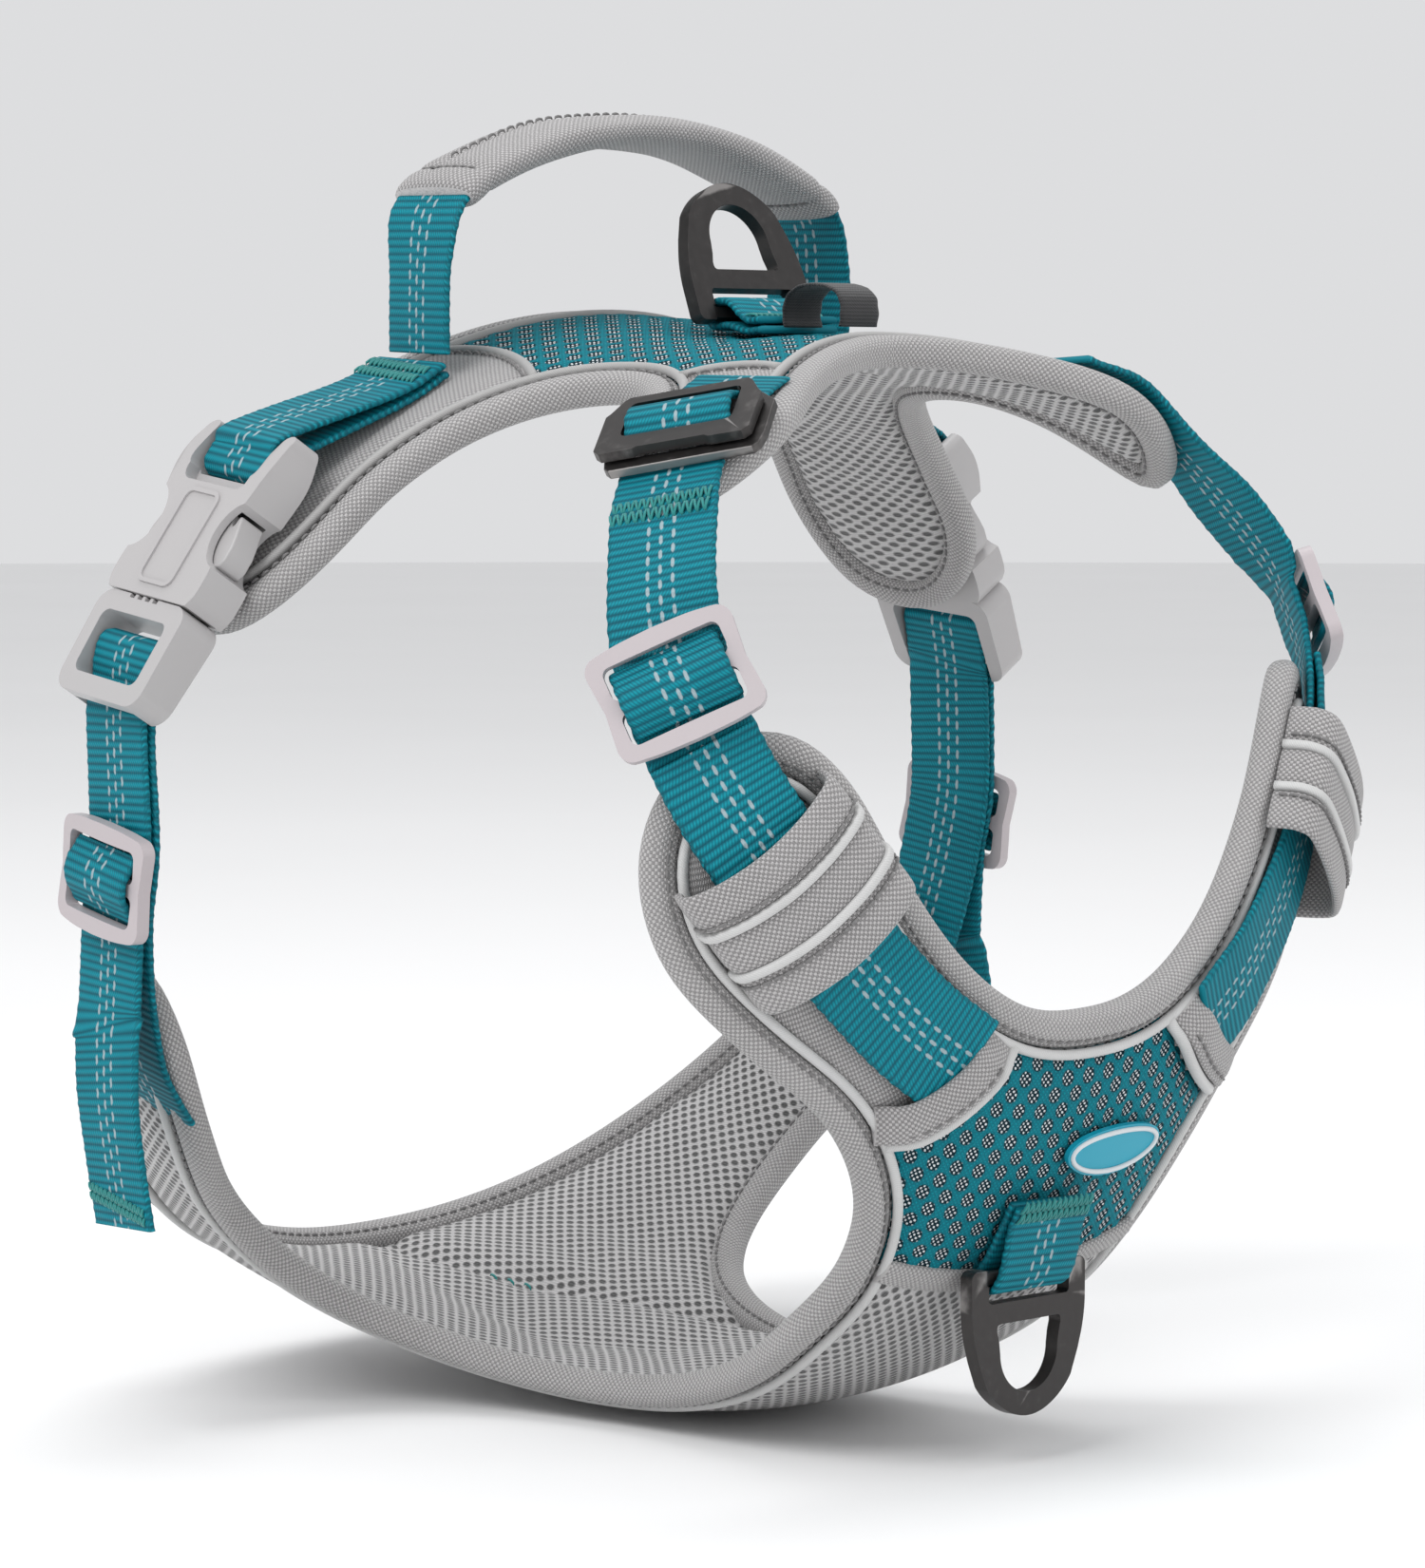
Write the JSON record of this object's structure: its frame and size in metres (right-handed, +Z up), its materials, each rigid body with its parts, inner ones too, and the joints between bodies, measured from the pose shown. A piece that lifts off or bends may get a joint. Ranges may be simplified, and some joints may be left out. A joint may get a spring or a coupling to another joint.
{
  "type": "dog harness",
  "caption": "Padded step-in dog harness with back handle, back and chest leash rings, side-release girth buckles and sliding adjusters on girth and neck straps.",
  "frame": {"origin": "on the plane between the dog's left and right, on the spine line under the back pad, level with the top of its inner face", "axes": "+X towards the dog's head, +Y towards the dog's left, +Z up"},
  "size_m": [0.2617, 0.2984, 0.3097],
  "materials": {
    "teal_webbing": "ribbed woven webbing with grey tracer dashes",
    "teal_mesh": "knitted spacer mesh with reflective flecks",
    "grey_mesh": "open spacer mesh",
    "lining_mesh": "soft spacer mesh",
    "foam_core": "closed-cell padding",
    "reflective_piping": "satin cord",
    "woven_binding": "plain weave roll",
    "woven_cover": "plain weave",
    "handle_sleeve": "plain weave over padding",
    "buckle_plastic": "satin moulding",
    "slider_plastic": "satin moulding",
    "buckle_metal": "gunmetal",
    "ring_metal": "gunmetal",
    "black_ribbon": "fine woven ribbon",
    "badge_rubber": "soft moulded"
  },
  "bodies": {
    "harness": {"back_binding": "woven_binding", "back_foam": "foam_core", "back_lining": "lining_mesh", "back_piping": "reflective_piping", "back_top_mesh": "teal_mesh", "belly_cover": "grey_mesh", "belly_strap_left": "teal_webbing", "belly_strap_right": "teal_webbing", "buckle_socket_left": "buckle_plastic", "buckle_socket_right": "buckle_plastic", "buckle_webbing_left": "teal_webbing", "buckle_webbing_right": "teal_webbing", "chest_arm_cover_left": "woven_cover", "chest_arm_cover_right": "woven_cover", "chest_badge": "badge_rubber", "chest_binding": "woven_binding", "chest_foam": "foam_core", "chest_leash_loop": "teal_webbing", "chest_lining": "lining_mesh", "chest_piping": "reflective_piping", "chest_top_mesh": "teal_mesh", "front_arm_cover_left": "woven_cover", "front_arm_cover_right": "woven_cover", "label_tab": "black_ribbon", "neck_buckle_base": "buckle_metal", "neck_buckle_webbing": "teal_webbing", "neck_keeper_left": "woven_cover", "neck_keeper_right": "woven_cover", "neck_strap_left": "teal_webbing", "neck_strap_right": "teal_webbing", "neck_tail_left": "teal_webbing", "neck_tail_right": "teal_webbing", "rear_arm_cover_left": "woven_cover", "rear_arm_cover_right": "woven_cover", "top_leash_loop": "teal_webbing"},
    "girth_right": {"buckle_plug_right": "buckle_plastic", "girth_strap_right": "teal_webbing", "girth_tail_right": "teal_webbing"},
    "prong_right_a": {"buckle_prong_right_a": "buckle_plastic"},
    "prong_right_b": {"buckle_prong_right_b": "buckle_plastic"},
    "girth_adjuster_right": {"girth_slider_right": "slider_plastic", "girth_hump_right": "teal_webbing"},
    "neck_adjuster_right": {"neck_slider_right": "slider_plastic", "neck_hump_right": "teal_webbing"},
    "girth_left": {"buckle_plug_left": "buckle_plastic", "girth_strap_left": "teal_webbing", "girth_tail_left": "teal_webbing"},
    "prong_left_a": {"buckle_prong_left_a": "buckle_plastic"},
    "prong_left_b": {"buckle_prong_left_b": "buckle_plastic"},
    "girth_adjuster_left": {"girth_slider_left": "slider_plastic", "girth_hump_left": "teal_webbing"},
    "neck_adjuster_left": {"neck_slider_left": "slider_plastic", "neck_hump_left": "teal_webbing"},
    "neck_hook": {"neck_buckle_hook": "buckle_metal", "neck_buckle_hump": "teal_webbing"},
    "top_ring": {"top_leash_ring": "ring_metal"},
    "chest_ring": {"chest_leash_ring": "ring_metal"},
    "handle": {"handle_webbing": "teal_webbing", "handle_sleeve": "handle_sleeve"}
  },
  "joints": [
    {"name": "release_right", "type": "slide", "parent": "harness", "child": "girth_right", "axis": [-0.1646, -0.5105, -0.844], "range_m": [0, 0.028], "deforming": ["belly_strap_right", "buckle_prong_right_a", "buckle_prong_right_b"]},
    {"name": "prong_right_a_press", "type": "hinge", "parent": "girth_right", "child": "prong_right_a", "pos_m": [-0.05146, -0.13003, -0.06235], "axis": [-0.0392, -0.8516, 0.5228], "range_deg": [0, 9], "stiffness_Nm_per_rad": 0.06},
    {"name": "prong_right_b_press", "type": "hinge", "parent": "girth_right", "child": "prong_right_b", "pos_m": [-0.07019, -0.12776, -0.06007], "axis": [-0.0392, -0.8516, 0.5228], "range_deg": [-9, 0], "stiffness_Nm_per_rad": 0.06},
    {"name": "girth_adjust_right", "type": "slide", "parent": "girth_right", "child": "girth_adjuster_right", "axis": [0.1653, -0.0184, 0.9861], "range_m": [-0.006, 0.008]},
    {"name": "neck_adjust_right", "type": "slide", "parent": "harness", "child": "neck_adjuster_right", "axis": [-0.3713, -0.0356, 0.9279], "range_m": [-0.003, 0.012]},
    {"name": "release_left", "type": "slide", "parent": "harness", "child": "girth_left", "axis": [-0.1647, 0.5105, -0.844], "range_m": [0, 0.028], "deforming": ["belly_strap_left", "buckle_prong_left_a", "buckle_prong_left_b"]},
    {"name": "prong_left_a_press", "type": "hinge", "parent": "girth_left", "child": "prong_left_a", "pos_m": [-0.07019, 0.12776, -0.06007], "axis": [-0.0395, 0.8515, 0.5228], "range_deg": [0, 9], "stiffness_Nm_per_rad": 0.06},
    {"name": "prong_left_b_press", "type": "hinge", "parent": "girth_left", "child": "prong_left_b", "pos_m": [-0.05146, 0.13003, -0.06235], "axis": [-0.0395, 0.8515, 0.5228], "range_deg": [-9, 0], "stiffness_Nm_per_rad": 0.06},
    {"name": "girth_adjust_left", "type": "slide", "parent": "girth_left", "child": "girth_adjuster_left", "axis": [0.1653, 0.0183, 0.9861], "range_m": [-0.006, 0.008]},
    {"name": "neck_adjust_left", "type": "slide", "parent": "harness", "child": "neck_adjuster_left", "axis": [-0.3709, -0.0585, 0.9268], "range_m": [-0.003, 0.012]},
    {"name": "neck_hook_lift", "type": "hinge", "parent": "harness", "child": "neck_hook", "pos_m": [0.0535, -0.07325, -0.01343], "axis": [-0.8987, -0.4083, -0.1599], "range_deg": [0, 25]},
    {"name": "top_ring_swing", "type": "hinge", "parent": "harness", "child": "top_ring", "pos_m": [0.00042, -0.00086, 0.00567], "axis": [0, 1, 0], "range_deg": [-50, 40]},
    {"name": "chest_ring_swing", "type": "hinge", "parent": "harness", "child": "chest_ring", "pos_m": [0.08904, -0.0024, -0.21165], "axis": [0, 1, 0], "range_deg": [-70, 28]},
    {"name": "handle_fold", "type": "hinge", "parent": "harness", "child": "handle", "pos_m": [-0.046, 0, -0.006], "axis": [0, 1, 0], "range_deg": [-50, 15], "deforming": ["handle_webbing"]}
  ],
  "couplings": [
    {"joint": "prong_right_b_press", "follows": "prong_right_a_press", "ratio": -1},
    {"joint": "prong_left_b_press", "follows": "prong_left_a_press", "ratio": -1}
  ]
}
